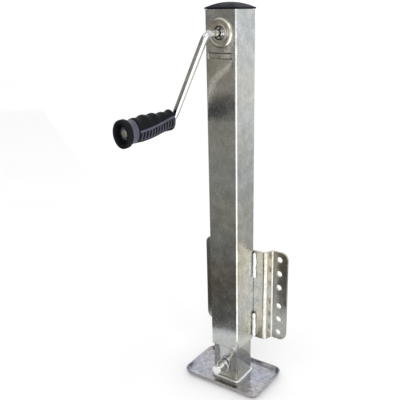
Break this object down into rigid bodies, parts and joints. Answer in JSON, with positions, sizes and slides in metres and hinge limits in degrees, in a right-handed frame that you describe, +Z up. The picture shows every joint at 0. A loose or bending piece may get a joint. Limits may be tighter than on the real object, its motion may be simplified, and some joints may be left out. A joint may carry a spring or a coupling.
{
  "type": "trailer tongue jack",
  "caption": "Side-wind square-tube trailer tongue jack with cranked handle, folded bolt-on bracket and a pinned drop leg on a pressed foot plate.",
  "frame": {"origin": "middle of the foot plate's sole, which is also on the tubes' axis", "axes": "+Z up along the tubes, -Y along the crank's shaft towards its grip, +X to the right as seen from the crank side"},
  "size_m": [0.1616, 0.2193, 0.6156],
  "materials": {
    "galvanised_steel": "zinc plated, spangled",
    "bright_zinc": "bright zinc plate",
    "weld_zinc": "rippled weld, zinc plated",
    "black_plastic": "moulded, satin",
    "black_rubber": "ribbed rubber",
    "grey_plastic": "moulded, satin",
    "bronze": "oiled sintered bronze",
    "gear_steel": "greased, machined",
    "bearing_steel": "ground"
  },
  "bodies": {
    "housing": {"outer_tube": "galvanised_steel", "top_cap": "black_plastic", "crank_boss": "galvanised_steel", "shaft_bushing": "bronze", "rear_bushing": "bronze", "pinion_washer": "gear_steel", "bearing_plate": "gear_steel", "bearing_upper_race": "bearing_steel", "mounting_bracket": "galvanised_steel", "bracket_weld_upper_right": "weld_zinc", "bracket_weld_lower_right": "weld_zinc", "bracket_weld_upper_left": "weld_zinc", "bracket_weld_lower_left": "weld_zinc"},
    "crank": {"crank_rod": "bright_zinc", "crank_pin": "bright_zinc", "drive_pinion": "gear_steel", "shaft_clip": "gear_steel", "grip_retainer": "bright_zinc"},
    "grip": {"grip_core": "grey_plastic", "grip_sleeve": "black_rubber", "grip_band": "grey_plastic", "grip_flange": "black_rubber"},
    "screw": {"lead_screw": "gear_steel", "driven_gear": "gear_steel", "gear_pin": "gear_steel", "bearing_lower_race": "bearing_steel"},
    "ball_cage": {"bearing_ball_cage": "bearing_steel"},
    "ram": {"ram_tube": "galvanised_steel", "ram_nut": "gear_steel", "drop_leg": "galvanised_steel", "foot_plate": "galvanised_steel", "foot_weld": "weld_zinc"},
    "pin": {"pull_pin": "bright_zinc"},
    "ring": {"pull_ring": "bright_zinc"}
  },
  "joints": [
    {"name": "crank_spin", "type": "hinge", "parent": "housing", "child": "crank", "pos_m": [0, -0.026, 0.5755], "axis": [0, -1, 0], "range_deg": [0, 50400]},
    {"name": "screw_spin", "type": "hinge", "parent": "housing", "child": "screw", "pos_m": [0, 0, 0.54], "axis": [0, 0, 1], "range_deg": [0, 25200]},
    {"name": "cage_spin", "type": "hinge", "parent": "housing", "child": "ball_cage", "pos_m": [0, 0, 0.529], "axis": [0, 0, 1], "range_deg": [0, 12600]},
    {"name": "ram_slide", "type": "slide", "parent": "housing", "child": "ram", "axis": [0, 0, -1], "range_m": [0, 0.3558]},
    {"name": "grip_spin", "type": "hinge", "parent": "crank", "child": "grip", "pos_m": [-0.0631, -0.058, 0.45683], "axis": [0, -0.9995, -0.0332], "continuous": true},
    {"name": "pin_pull", "type": "slide", "parent": "ram", "child": "pin", "axis": [0, -1, 0], "range_m": [0, 0.055]},
    {"name": "ring_swing", "type": "hinge", "parent": "pin", "child": "ring", "pos_m": [0, -0.032, 0.038], "axis": [0, -1, 0], "range_deg": [-60, 60]}
  ],
  "couplings": [
    {"joint": "screw_spin", "follows": "crank_spin", "ratio": 0.5},
    {"joint": "cage_spin", "follows": "crank_spin", "ratio": 0.25},
    {"joint": "ram_slide", "follows": "crank_spin", "m_per_rad": 0.00040425}
  ]
}
